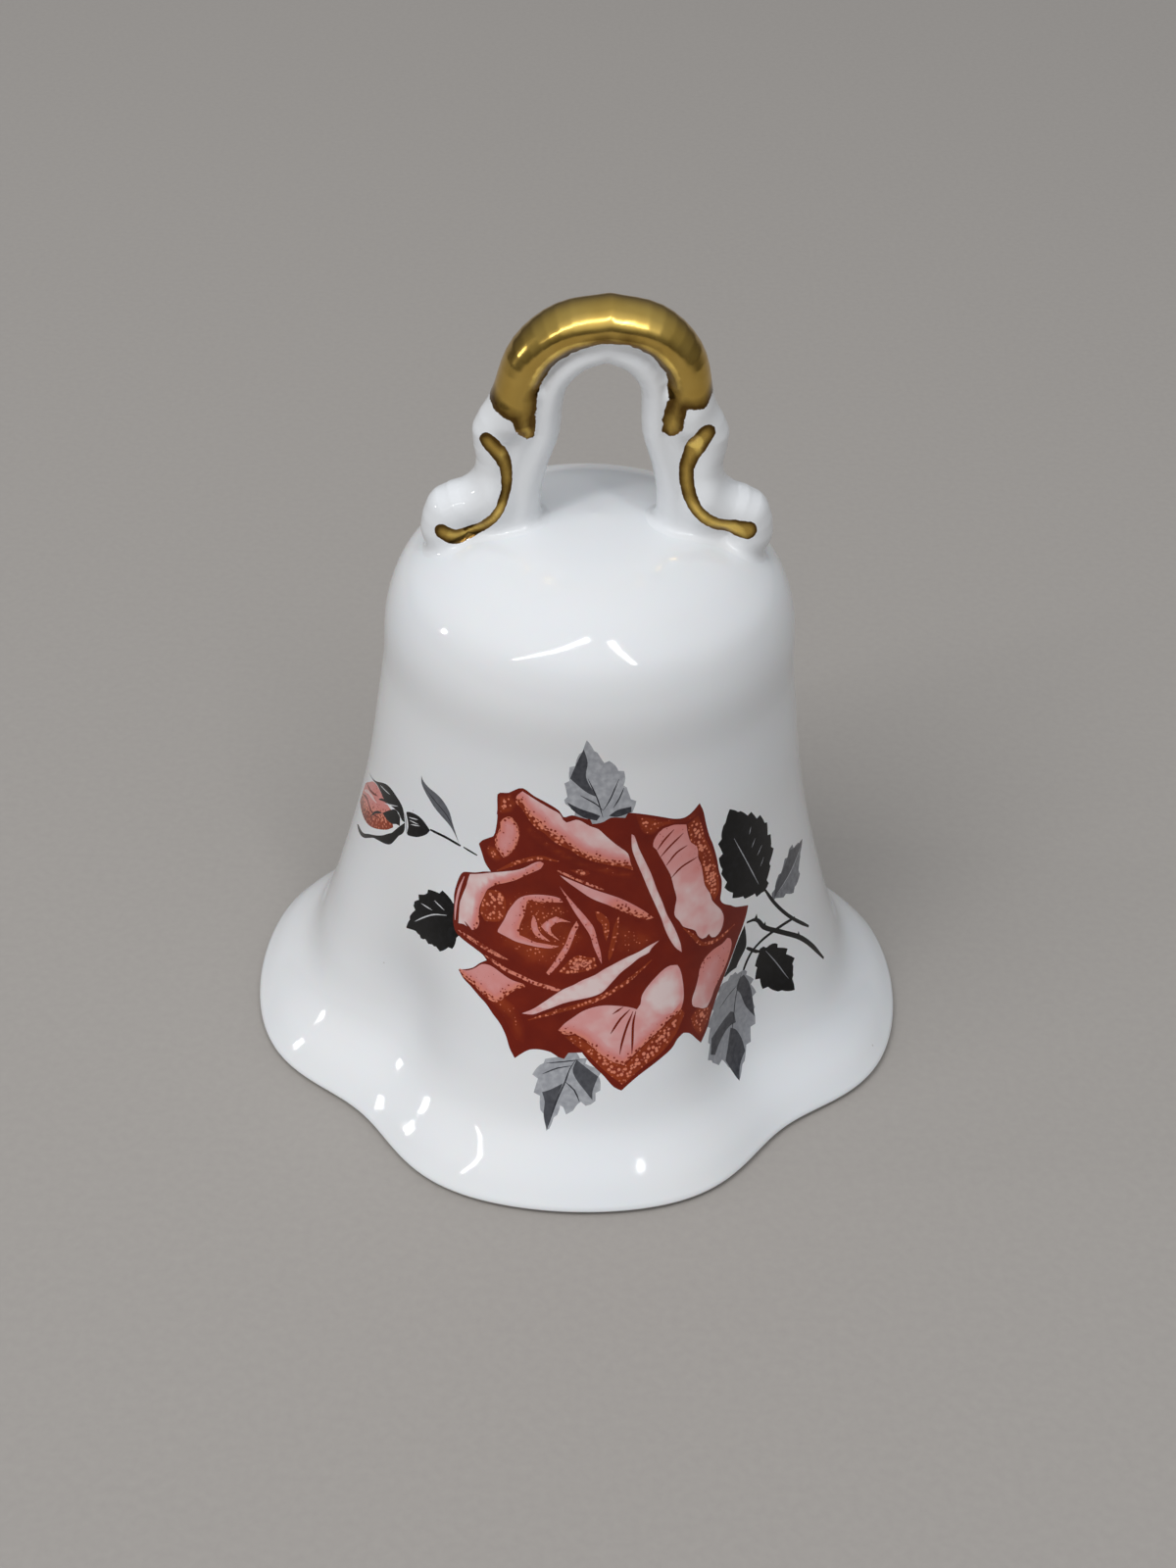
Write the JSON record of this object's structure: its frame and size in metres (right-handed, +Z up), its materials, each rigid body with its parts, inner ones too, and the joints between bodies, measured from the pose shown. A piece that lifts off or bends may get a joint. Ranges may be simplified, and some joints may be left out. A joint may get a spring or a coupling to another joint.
{
  "type": "porcelain hand bell",
  "caption": "Porcelain table bell with a lobed flaring rim, a looped scroll handle luted on its crown and a bead clapper that swings inside from a wire staple.",
  "frame": {"origin": "centre of the rim's flat underside, on the surface that the bell stands on", "axes": "+Z up along the body's axis; the handle's arch lies close to the XZ plane; -Y is the side with the large rose"},
  "size_m": [0.084, 0.084, 0.0988],
  "materials": {
    "porcelain": "glossy cool-white glaze with transfer-printed roses fired into it",
    "porcelain_gilded": "glossy white glaze, bright gold painted on the arch and in the scroll grooves",
    "bead": "glossy white glaze",
    "wire": "drawn wire, slightly dulled",
    "cement": "matt, slightly grainy setting cement"
  },
  "bodies": {
    "bell": {"bell_body": "porcelain", "handle": "porcelain_gilded", "cement_plug": "cement", "staple": "wire"},
    "link": {"link": "wire"},
    "clapper": {"clapper_pin": "wire", "clapper_ball": "bead"}
  },
  "joints": [
    {"name": "link_swing", "type": "hinge", "parent": "bell", "child": "link", "pos_m": [0, 0, 0.06], "axis": [0.7071, 0.7071, 0], "range_deg": [-23, 23]},
    {"name": "clapper_swing", "type": "hinge", "parent": "link", "child": "clapper", "pos_m": [0, 0, 0.0525], "axis": [-0.7071, 0.7071, 0], "range_deg": [-16, 16]}
  ]
}
